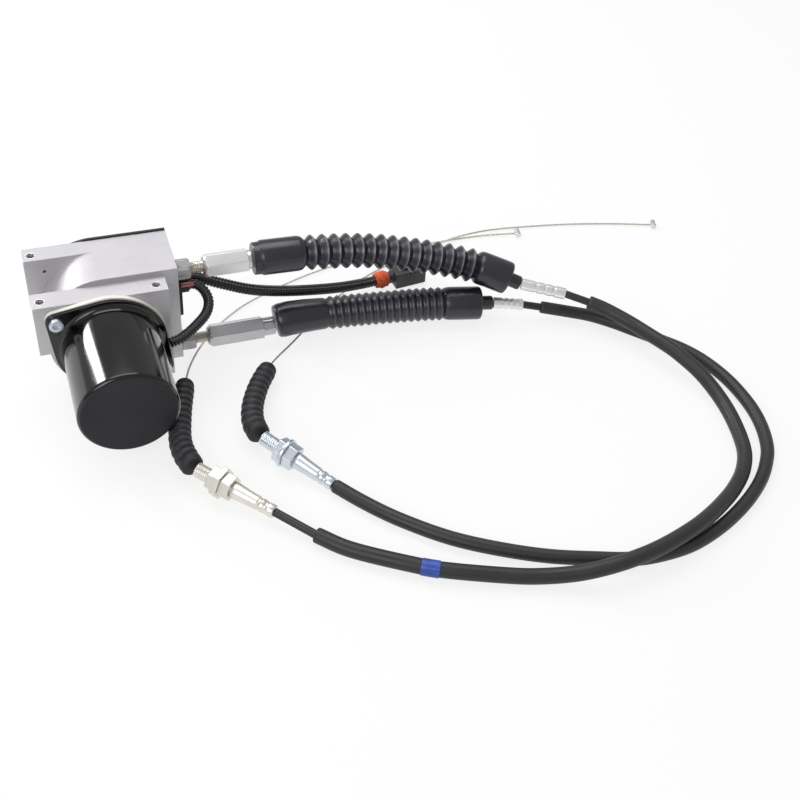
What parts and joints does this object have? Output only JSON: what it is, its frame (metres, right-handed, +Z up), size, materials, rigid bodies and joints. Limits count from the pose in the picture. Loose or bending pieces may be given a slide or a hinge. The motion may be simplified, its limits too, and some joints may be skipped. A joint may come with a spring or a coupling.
{
  "type": "engine governor actuator",
  "caption": "Electric motor and gear housing that pulls two sheathed throttle wires, with rubber bellows, looped cables and a wiring lead.",
  "frame": {"origin": "centre of the housing, on the base face that it stands on", "axes": "+X along the cable outlets, +Y away from the motor, +Z up through the tapped mounting holes"},
  "size_m": [0.505, 0.3521, 0.0801],
  "materials": {
    "machined_aluminium": "bare machined",
    "black_cover": "moulded",
    "zinc_steel": "zinc plated",
    "spacer_board": "pressed board",
    "black_enamel": "gloss",
    "ferrite": "sintered",
    "laminate": "laminated",
    "carbon": "pressed",
    "bronze": "sintered",
    "ground_steel": "ground",
    "circuit_board": "coated",
    "armature_iron": "varnished",
    "copper": "turned",
    "gear_steel": "hobbed",
    "drum_alloy": "turned",
    "yellow_zinc": "yellow plated",
    "wire_strand": "stranded",
    "black_rubber": "moulded",
    "conduit_plastic": "extruded",
    "cable_sleeve": "extruded",
    "blue_tape": "tape",
    "loom_plastic": "corrugated",
    "orange_tie": "tape",
    "connector_plastic": "moulded"
  },
  "bodies": {
    "actuator": {"housing": "machined_aluminium", "back_cover": "black_cover", "cover_screws": "zinc_steel", "motor_spacer": "spacer_board", "motor_can": "black_enamel", "motor_screws": "zinc_steel", "magnets": "ferrite", "brush_holder": "laminate", "brushes": "carbon", "rear_bush": "bronze", "front_bush": "bronze", "end_bush": "bronze", "cluster_pin": "ground_steel", "sensor_track": "circuit_board", "upper_stub": "yellow_zinc", "lower_stub": "yellow_zinc", "lock_nuts": "zinc_steel", "upper_hex_sleeve": "zinc_steel", "lower_hex_sleeve": "zinc_steel", "upper_drum_wire": "wire_strand", "lower_drum_wire": "wire_strand", "upper_bellows": "black_rubber", "lower_bellows": "black_rubber", "upper_ferrule": "zinc_steel", "lower_ferrule": "zinc_steel", "upper_conduit": "conduit_plastic", "lower_conduit": "conduit_plastic", "upper_cable": "cable_sleeve", "lower_cable": "cable_sleeve", "marker_band": "blue_tape", "upper_end_ferrule": "zinc_steel", "lower_end_ferrule": "zinc_steel", "end_washers": "zinc_steel", "end_nuts": "zinc_steel", "upper_boot": "black_rubber", "lower_boot": "black_rubber", "upper_wire": "wire_strand", "lower_wire": "wire_strand", "upper_wire_nipple": "zinc_steel", "lower_wire_nipple": "zinc_steel", "loom_plate": "loom_plastic", "motor_loom": "loom_plastic", "harness_loom": "loom_plastic", "harness_tie": "orange_tie", "connector": "connector_plastic", "connector_latch": "connector_plastic"},
    "rotor": {"rotor_shaft": "ground_steel", "armature": "armature_iron", "commutator": "copper", "motor_pinion": "gear_steel"},
    "cluster": {"cluster_gear": "gear_steel"},
    "drum": {"drum": "drum_alloy", "output_gear": "gear_steel", "drum_bushes": "bronze", "sensor_wiper": "copper"}
  },
  "joints": [
    {"name": "rotor_spin", "type": "hinge", "parent": "actuator", "child": "rotor", "pos_m": [-0.002, 0, 0.039], "axis": [0, 1, 0], "range_deg": [-450, 450]},
    {"name": "cluster_spin", "type": "hinge", "parent": "actuator", "child": "cluster", "pos_m": [0.022, 0, 0.039], "axis": [0, 1, 0], "range_deg": [-150, 150]},
    {"name": "drum_turn", "type": "hinge", "parent": "actuator", "child": "drum", "pos_m": [-0.002, 0, 0.039], "axis": [0, 1, 0], "range_deg": [-50, 50]}
  ],
  "couplings": [
    {"joint": "cluster_spin", "follows": "rotor_spin", "ratio": -0.33333},
    {"joint": "drum_turn", "follows": "rotor_spin", "ratio": 0.11111}
  ]
}
